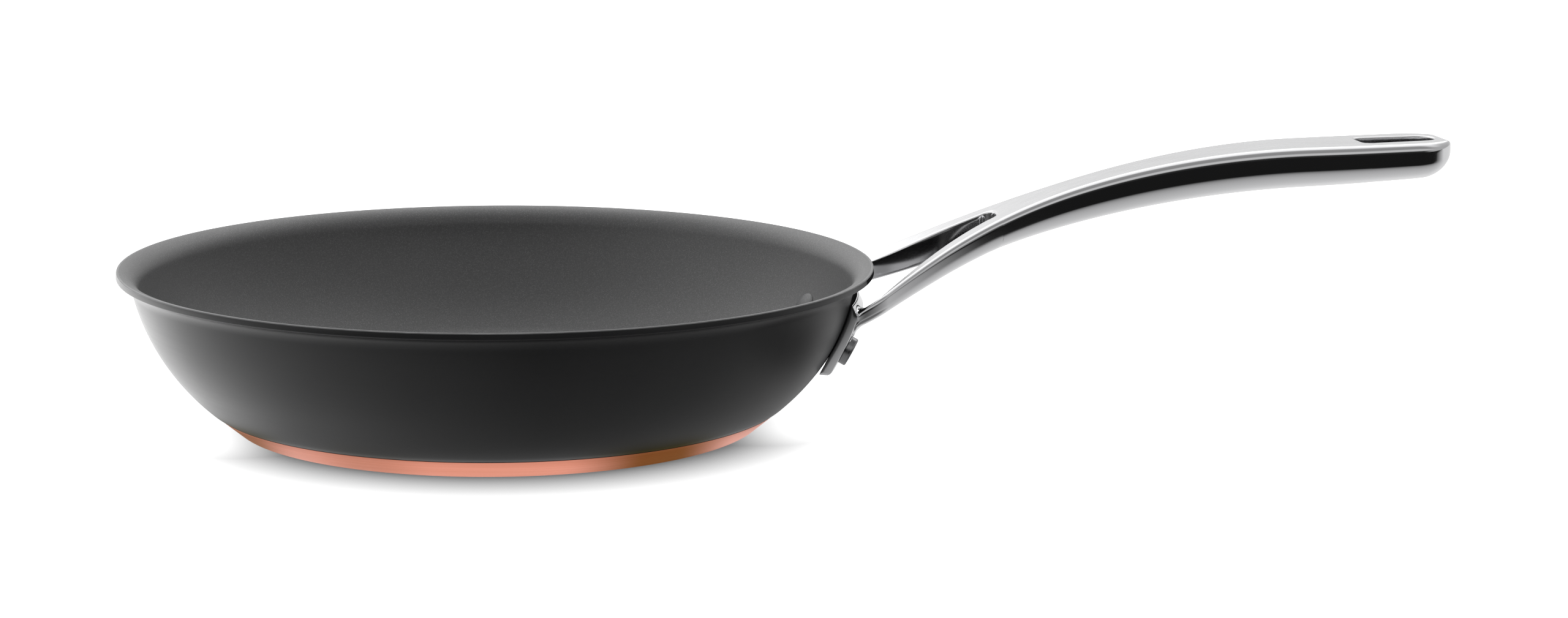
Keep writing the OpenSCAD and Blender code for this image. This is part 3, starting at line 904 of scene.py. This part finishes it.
class Finish(Nodes):
    """A procedural material being built on a principled surface."""

    def __init__(self, name, colour, metallic, roughness):
        self.material = bpy.data.materials.new(name)
        self.material.use_nodes = True
        super().__init__(self.material.node_tree)
        self.shader = self.tree.nodes["Principled BSDF"]
        self.shader.inputs["Base Color"].default_value = (*colour, 1)
        self.shader.inputs["Metallic"].default_value = metallic
        self.shader.inputs["Roughness"].default_value = roughness
        self.place = self.tree.nodes.new("ShaderNodeTexCoord").outputs["Object"]

    def noise(self, place, scale, detail, roughness=0.5):
        inputs = {"Vector": place, "Scale": scale, "Detail": detail, "Roughness": roughness}
        return self.node("TexNoise", inputs).outputs["Fac"]

    def turned(self, scale):
        """Coordinates that stay nearly the same round the axis and change fast across it."""
        flat = self.node("SeparateXYZ", {0: self.place})
        level = self.node("CombineXYZ", {0: flat.outputs[0], 1: flat.outputs[1]}).outputs[0]
        radius = self.node("VectorMath", {0: level}, operation="LENGTH").outputs["Value"]
        heading = self.node("VectorMath", {0: level}, operation="NORMALIZE").outputs[0]
        across = self.math("MULTIPLY", self.math("ADD", radius, flat.outputs[2]), scale)
        rise = self.node("CombineXYZ", {2: across}).outputs[0]
        return self.node("VectorMath", {0: heading, 1: rise}, operation="ADD").outputs[0]

    def stretched(self, scales):
        """Coordinates with a scale of their own along each axis."""
        return self.node("VectorMath", {0: self.place, 1: scales}, operation="MULTIPLY").outputs[0]

    def mix(self, share, a, b):
        """From the colour a to the colour b."""
        made = self.node("Mix", data_type="RGBA")
        for index, value in ((0, share), (6, a), (7, b)):
            if isinstance(value, bpy.types.NodeSocket):
                self.tree.links.new(value, made.inputs[index])
            else:
                made.inputs[index].default_value = (*value, 1) if index else value
        return made.outputs[2]

    def set(self, key, value):
        self.tree.links.new(value, self.shader.inputs[key])

    def tint(self, value, low, high, to_low, to_high):
        """Runs the surface's colour from one to the other as the value goes from low to high."""
        self.set("Base Color", self.mix(self.spread(value, low, high, 0, 1), to_low, to_high))

    def roughen(self, value, low, high, to_low, to_high):
        """The same for its roughness."""
        self.set("Roughness", self.spread(value, low, high, to_low, to_high))

    def brush_round(self, strength):
        """Stretches the gloss across lines that run round the axis."""
        self.shader.inputs["Anisotropic"].default_value = strength
        self.set("Tangent", self.node("Tangent", direction_type="RADIAL", axis="Z").outputs[0])

    def bump(self, height, distance):
        """Relief from a height between 0 and 1. The distance is in metres."""
        self.set("Normal", self.node("Bump", {"Height": height, "Distance": distance}).outputs[0])


# Painted shade beside the flange: the wall's sheen is cut there. It fades back in between two angles
# from the handle's line in radians, and below the flange over a drop
WALL_SHEEN = 0.3
SHEEN_FROM_ANGLE = math.radians(FLANGE_ANGLE + 0.5)
SHEEN_TO_ANGLE = math.radians(FLANGE_ANGLE + 8)
SHEEN_DROP = 8


def hard_anodised():
    """Dark grey oxide with a soft sheen, a very fine grain, faint turning lines and painted shade by the
    flange.
    """
    f = Finish("hard_anodised", (0.012, 0.012, 0.0125), metallic=0.0, roughness=0.36)
    lines = f.noise(f.turned(900), scale=1.0, detail=3)
    cloud = f.noise(f.place, scale=18, detail=2)
    grain = f.noise(f.place, scale=2600, detail=2)
    tone = f.weigh(cloud, lines, share=0.15)
    f.tint(tone, 0.35, 0.65, (0.0095, 0.0095, 0.010), (0.0135, 0.0135, 0.014))
    f.roughen(tone, 0.35, 0.65, 0.33, 0.39)
    flat = f.node("SeparateXYZ", {0: f.place})
    turn = f.math("ABSOLUTE", f.math("ARCTAN2", flat.outputs[1], flat.outputs[0]))
    beside = f.spread(turn, SHEEN_FROM_ANGLE, SHEEN_TO_ANGLE, 0, 1)
    below = f.spread(flat.outputs[2], FLANGE_FOOT * MM, (FLANGE_FOOT - SHEEN_DROP) * MM, 0, 1)
    # Painted shade: no sheen beside and below the flange
    f.set("Specular IOR Level", f.math("MULTIPLY", f.math("MAXIMUM", beside, below), WALL_SHEEN))
    f.bump(grain, distance=0.000008)
    return f.material


def pale_rim_edge():
    """The lip's upper corner in a mottled paler grey: a thin lighter line round the rim."""
    f = Finish("pale_rim_edge", (0.1, 0.1, 0.102), metallic=0.0, roughness=0.35)
    mottle = f.noise(f.place, scale=160, detail=3)
    f.tint(mottle, 0.3, 0.7, (0.07, 0.07, 0.071), (0.12, 0.12, 0.122))
    f.bump(mottle, distance=0.00001)
    return f.material


def nonstick_coating():
    """Charcoal coating with fine, dim metallic flecks under a satin surface."""
    f = Finish("nonstick_coating", (0.04, 0.04, 0.041), metallic=0.0, roughness=0.45)
    f.shader.inputs["Specular IOR Level"].default_value = 0.75
    cells = f.node("TexVoronoi", {"Vector": f.place, "Scale": 2900})
    pick = f.node("SeparateColor", {0: cells.outputs["Color"]}).outputs[0]
    near = f.spread(cells.outputs["Distance"], 0.2, 0.5, 1, 0)
    fleck = f.math("MULTIPLY", f.spread(pick, 0.3, 1.0, 0, 1), near)
    grain = f.noise(f.place, scale=1700, detail=2, roughness=0.6)
    cloud = f.noise(f.place, scale=22, detail=2)
    base = f.mix(f.spread(cloud, 0.3, 0.7, 0, 1), (0.038, 0.038, 0.0385), (0.044, 0.044, 0.0445))
    grained = f.mix(f.spread(grain, 0.4, 0.75, 0, 0.5), base, (0.075, 0.075, 0.076))
    f.set("Base Color", f.mix(fleck, grained, (0.12, 0.12, 0.122)))
    f.roughen(fleck, 0, 1, 0.46, 0.36)
    f.bump(grain, distance=0.000015)
    return f.material


def brushed_copper():
    """Copper brushed round the edge: long fine streaks that the light stretches across."""
    f = Finish("brushed_copper", (0.85, 0.33, 0.22), metallic=1.0, roughness=0.35)
    f.brush_round(0.7)
    fine = f.noise(f.turned(5200), scale=1.6, detail=4, roughness=0.65)
    broad = f.noise(f.turned(600), scale=1.2, detail=2)
    tone = f.weigh(fine, broad, share=0.3)
    f.tint(tone, 0.35, 0.65, (0.78, 0.258, 0.15), (0.96, 0.372, 0.258))
    f.roughen(fine, 0.3, 0.7, 0.26, 0.38)
    f.bump(fine, distance=0.00002)
    return f.material


def core_aluminium():
    """Plain cast aluminium of the hidden core, with a fine grain."""
    f = Finish("core_aluminium", (0.72, 0.73, 0.75), metallic=1.0, roughness=0.5)
    grain = f.noise(f.place, scale=900, detail=3)
    f.roughen(grain, 0.3, 0.7, 0.42, 0.58)
    f.bump(grain, distance=0.00002)
    return f.material


def turned_steel():
    """Steel faced on a lathe: fine rings about the axis."""
    f = Finish("turned_steel", (0.56, 0.56, 0.57), metallic=1.0, roughness=0.32)
    f.brush_round(0.6)
    rings = f.noise(f.turned(2600), scale=0.8, detail=4, roughness=0.6)
    f.tint(rings, 0.3, 0.7, (0.46, 0.46, 0.47), (0.66, 0.66, 0.67))
    f.roughen(rings, 0.3, 0.7, 0.26, 0.4)
    f.bump(rings, distance=0.00004)
    return f.material


def polished_steel():
    """Polished cast steel, with a trace of handling marks in its gloss."""
    f = Finish("polished_steel", (0.66, 0.66, 0.67), metallic=1.0, roughness=0.1)
    smear = f.noise(f.stretched((14, 60, 60)), scale=1.0, detail=4, roughness=0.6)
    f.roughen(smear, 0.3, 0.75, 0.07, 0.14)
    return f.material


def satin_steel():
    """Steel of the handle's top face, brushed along its length to a satin."""
    f = Finish("satin_steel", (0.54, 0.54, 0.547), metallic=1.0, roughness=0.24)
    hair = f.noise(f.stretched((30, 2600, 400)), scale=1.0, detail=3, roughness=0.6)
    f.tint(hair, 0.3, 0.7, (0.50, 0.50, 0.507), (0.57, 0.57, 0.577))
    f.roughen(hair, 0.3, 0.7, 0.2, 0.3)
    f.bump(hair, distance=0.000008)
    return f.material


def rivet_steel():
    """Satin steel of the rivets, with fine turning rings on the heads."""
    f = Finish("rivet_steel", (0.24, 0.24, 0.245), metallic=1.0, roughness=0.3)
    rings = f.noise(f.turned(4000), scale=0.8, detail=3)
    f.roughen(rings, 0.3, 0.7, 0.22, 0.36)
    f.bump(rings, distance=0.00001)
    return f.material


# Studio

# Side of the floor's square, its tone, and how far it lies under the pan
FLOOR_SIZE = 12
FLOOR_TONE = 0.8
FLOOR_GAP = 0.00002
# The floor's own light to the camera grows away from the foot, which keeps the shadow narrow
LIFT_NEAR = 0.12
LIFT_FAR = 0.85
LIFT_FROM_R = 0.085
LIFT_TO_R = 0.112
# Beside the foot the floor's own light also paints the shadow out where the floor is no longer in front of
# it
SIDE_FROM_X = 0.058
SIDE_TO_X = 0.096
SIDE_FROM_Y = -0.095
SIDE_TO_Y = -0.025
# The floor's glow that only gloss sees, a painted reflection: bright under the pan and behind it, dark in
# front
GLOSS_NEAR = 0.9
GLOSS_FRONT = 0.012
GLOSS_FROM_Y = -0.25
GLOSS_TO_Y = 0.07
GLOSS_IN_R = 0.089
GLOSS_OUT_R = 0.101
# The painted reflection is brighter on the left, beyond the foot
LEFT_GAIN = 2.3
LEFT_FROM_X = 0.01
LEFT_TO_X = -0.115
LEFT_OUT_R = 0.107
# Painted brown patches in the floor's glow round the foot, which give the copper dark brown reflections:
# angle from the front, half width of the full and of the fading part, all in degrees, and depth
BROWN_PATCHES = ((32, 4, 24, 1.0), (-31, 2, 16, 0.28), (-74, 9, 26, 0.8))
BROWN_PATCH_COLOUR = (0.24, 0.2, 0.08)
BROWN_PATCH_R = 0.0915
BROWN_PATCH_OUT_R = 0.0955
# Painted shade in the floor's glow under the roots of the arms, which darkens their reflection
ROOT_SHADE_PLACE = (0.157, -0.05, 0)
ROOT_SHADE_R = 0.062
ROOT_SHADE_FULL_R = ROOT_SHADE_R / 3
ROOT_SHADE_TONE = 0.3

# Light overhead along the arc from the front horizon over the top to the back: degrees and strength
LIGHT_PEAK = 1.4
LIGHT_ARC = (
    (0, 0.02), (14, 0.02), (26, 0.52), (46, 0.52), (54, 0.25), (66, 0.25),
    (77, 0.9), (104, 1.0), (122, 1.6), (144, 1.4), (162, 0.66), (180, 0.62),
)
# Light from the sides, where it takes over from the arc, and where left and right meet
LEFT_LIGHT = 1.15
RIGHT_LIGHT = 0.55
SIDE_LIGHT_FROM = 0.5
SIDE_LIGHT_TO = 0.95
SIDES_MEET = 0.3
# A broad lamp at the back on the left: its direction, strength, and the cosines at its edge and
# where it is full
BACK_LAMP_AIM = (-0.45, 0.88, 0.2)
BACK_LAMP_LIGHT = 0.45
BACK_LAMP_EDGE = 0.8
BACK_LAMP_FULL = 0.97


def floor_lift(f, place, radius):
    """Strength of the floor's own light to the camera."""
    # The floor's own light paints the shadow out beside the foot
    aside = f.blend(f.math("ABSOLUTE", place.outputs[0]), SIDE_FROM_X, SIDE_TO_X, 0, 1)
    behind = f.blend(place.outputs[1], SIDE_FROM_Y, SIDE_TO_Y, 0, 1)
    outward = f.spread(radius, LIFT_FROM_R, LIFT_TO_R, LIFT_NEAR, LIFT_FAR)
    return f.math("MAXIMUM", outward, f.math("MULTIPLY", aside, behind))


def floor_gloss(f, place, radius):
    """Light of the floor's glow that gloss sees, a painted reflection, without the painted brown patches.
    """
    ramp = f.spread(place.outputs[1], GLOSS_FROM_Y, GLOSS_TO_Y, GLOSS_FRONT, GLOSS_NEAR)
    under = f.spread(radius, GLOSS_IN_R, GLOSS_OUT_R, GLOSS_NEAR, 0)
    leftward = f.spread(place.outputs[0], LEFT_FROM_X, LEFT_TO_X, 0, LEFT_GAIN)
    beyond = f.spread(radius, GLOSS_IN_R, LEFT_OUT_R, 0, 1)
    left = f.math("MULTIPLY", leftward, beyond)
    # Painted shade under the roots of the arms, seen in their reflection
    away = f.node("VectorMath", {0: f.place, 1: ROOT_SHADE_PLACE}, operation="DISTANCE").outputs["Value"]
    dim = f.blend(away, ROOT_SHADE_FULL_R, ROOT_SHADE_R, ROOT_SHADE_TONE, 1)
    dimmed = f.math("MULTIPLY", ramp, dim)
    return f.math("MAXIMUM", f.math("MULTIPLY", dimmed, f.math("ADD", left, 1)), under)


def paint_brown_reflections(f, place, radius, light):
    """The floor's light with painted brown patches round the foot, which the copper shows as dark
    reflections.
    """
    turn = f.math("ARCTAN2", place.outputs[0], f.math("MULTIPLY", place.outputs[1], -1))
    inside = f.spread(radius, BROWN_PATCH_R, BROWN_PATCH_OUT_R, 1, 0)
    colour = f.node("CombineXYZ", {0: light, 1: light, 2: light}).outputs[0]
    # Each patch paints a dark brown reflection on the copper
    for angle, full, fade, depth_share in BROWN_PATCHES:
        off = f.math("ABSOLUTE", f.math("SUBTRACT", turn, math.radians(angle)))
        share = f.blend(off, math.radians(full), math.radians(fade), depth_share, 0)
        colour = f.mix(f.math("MULTIPLY", share, inside), colour, BROWN_PATCH_COLOUR)
    return colour


def floor_finish():
    """White that keeps the shadow. To gloss it glows instead, a painted reflection of a lit table, dark in
    front and with painted brown patches.
    """
    f = Finish("floor_white", (FLOOR_TONE,) * 3, metallic=0.0, roughness=0.9)
    f.shader.inputs["Specular IOR Level"].default_value = 0.0
    path = f.node("LightPath")
    place = f.node("SeparateXYZ", {0: f.place})
    radius = f.node("VectorMath", {0: f.place}, operation="LENGTH").outputs["Value"]
    lift = floor_lift(f, place, radius)
    f.shader.inputs["Emission Color"].default_value = (1, 1, 1, 1)
    f.set("Emission Strength", f.math("MULTIPLY", path.outputs["Is Camera Ray"], lift))
    colour = paint_brown_reflections(f, place, radius, floor_gloss(f, place, radius))
    # Painted reflection: gloss sees this glow instead of the lit floor
    reflection_glow = f.node("Emission", {"Color": colour, "Strength": 1.0}).outputs[0]
    both = f.node("MixShader", {0: path.outputs["Is Glossy Ray"], 1: f.shader.outputs[0], 2: reflection_glow})
    f.tree.links.new(both.outputs[0], f.tree.nodes["Material Output"].inputs["Surface"])
    return f.material


def make_floor():
    """A square of floor just under the pan."""
    half = FLOOR_SIZE / 2 / MM
    points = np.array([(-half, -half, 0), (half, -half, 0), (half, half, 0), (-half, half, 0)], float)
    floor = add_mesh("floor", points, [(0, 1, 2, 3)], [floor_finish()])
    floor.location.z = -FLOOR_GAP


def arc_light(w, y, z):
    """Light along the arc from the front horizon over the top to the back."""
    turn = w.math("ARCTAN2", z, w.math("MULTIPLY", y, -1.0))
    ramp = w.node("ValToRGB", {0: w.math("DIVIDE", turn, math.pi)})
    stops = ramp.color_ramp.elements
    while len(stops) < len(LIGHT_ARC):
        stops.new(0.5)
    for stop, (degrees, strength) in zip(stops, LIGHT_ARC):
        stop.position = degrees / 180
        stop.color = (strength,) * 3 + (1,)
    return w.math("MULTIPLY", ramp.outputs[0], LIGHT_PEAK)


def make_world():
    """Soft light from above and from the sides, dark behind the camera, and white to the camera."""
    world = bpy.data.worlds.new("studio")
    bpy.context.scene.world = world
    world.use_nodes = True
    world.node_tree.nodes.clear()
    w = Nodes(world.node_tree)
    aim = w.node("TexCoord").outputs["Generated"]
    x, y, z = w.node("SeparateXYZ", {0: aim}).outputs
    overhead = arc_light(w, y, z)
    sides = w.fade(w.blend(x, -SIDES_MEET, SIDES_MEET, 0, 1), LEFT_LIGHT, RIGHT_LIGHT)
    to_sides = w.blend(w.math("ABSOLUTE", x), SIDE_LIGHT_FROM, SIDE_LIGHT_TO, 0, 1)
    round_pan = w.fade(to_sides, overhead, sides)
    lamp_aim = Vector(BACK_LAMP_AIM).normalized()
    facing = w.node("VectorMath", {0: aim, 1: lamp_aim}, operation="DOT_PRODUCT").outputs["Value"]
    lamp = w.blend(facing, BACK_LAMP_EDGE, BACK_LAMP_FULL, 0, BACK_LAMP_LIGHT)
    light = w.math("ADD", round_pan, lamp)
    shown = w.node("Background", {"Color": (1, 1, 1, 1), "Strength": 1.0}).outputs[0]
    lit = w.node("Background", {"Color": (1, 1, 1, 1), "Strength": light}).outputs[0]
    to_camera = w.node("LightPath").outputs["Is Camera Ray"]
    mixed = w.node("MixShader", {0: to_camera, 1: lit, 2: shown})
    w.tree.links.new(mixed.outputs[0], w.node("OutputWorld").inputs[0])


def make_camera():
    """The photograph's view, turned so that the handle lies along +X."""
    yaw = CAMERA_YAW + HANDLE_TURN
    forward = Vector((
        math.sin(yaw) * math.cos(CAMERA_PITCH),
        math.cos(yaw) * math.cos(CAMERA_PITCH),
        -math.sin(CAMERA_PITCH),
    ))
    right = Vector((math.cos(yaw), -math.sin(yaw), 0))
    up = right.cross(forward)
    rolled_right = right * math.cos(CAMERA_ROLL) + up * math.sin(CAMERA_ROLL)
    rolled_up = up * math.cos(CAMERA_ROLL) - right * math.sin(CAMERA_ROLL)
    turn = Matrix((rolled_right, rolled_up, -forward)).transposed()
    data = bpy.data.cameras.new("camera")
    data.sensor_width = SENSOR_WIDTH
    data.lens = FOCAL_PX / PHOTO_WIDTH_PX * SENSOR_WIDTH
    data.clip_start = NEAREST
    data.clip_end = FARTHEST
    camera = bpy.data.objects.new("camera", data)
    place = Vector((
        -CAMERA_DISTANCE * math.sin(HANDLE_TURN),
        -CAMERA_DISTANCE * math.cos(HANDLE_TURN),
        CAMERA_HEIGHT,
    ))
    camera.matrix_world = Matrix.Translation(place) @ turn.to_4x4()
    bpy.context.scene.collection.objects.link(camera)
    bpy.context.scene.camera = camera


def dress(piece, node):
    """The piece stands for a node of the frame: it joins the body, and the frame's own part is hidden."""
    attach(piece, BODY)
    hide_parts(node)


def main():
    make_camera()
    coating = nonstick_coating()
    dress(make_bowl(hard_anodised(), coating, pale_rim_edge()), "pan_body")
    skirt = make_copper_base(brushed_copper())
    # No copper-coloured light falls from the skirt on the floor
    skirt.visible_diffuse = False
    dress(skirt, "copper_base")
    dress(make_base_plate(turned_steel()), "base_plate")
    dress(make_handle(polished_steel(), satin_steel()), "handle")
    rivet_finishes = [rivet_steel(), coating]
    dress(make_rivet("left_rivet", 1, rivet_finishes), "rivet_left")
    dress(make_rivet("right_rivet", -1, rivet_finishes), "rivet_right")
    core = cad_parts["base_core"]
    core.data.materials.clear()
    core.data.materials.append(core_aluminium())
    make_floor()
    make_world()
    bpy.context.scene.view_settings.view_transform = "Standard"


main()
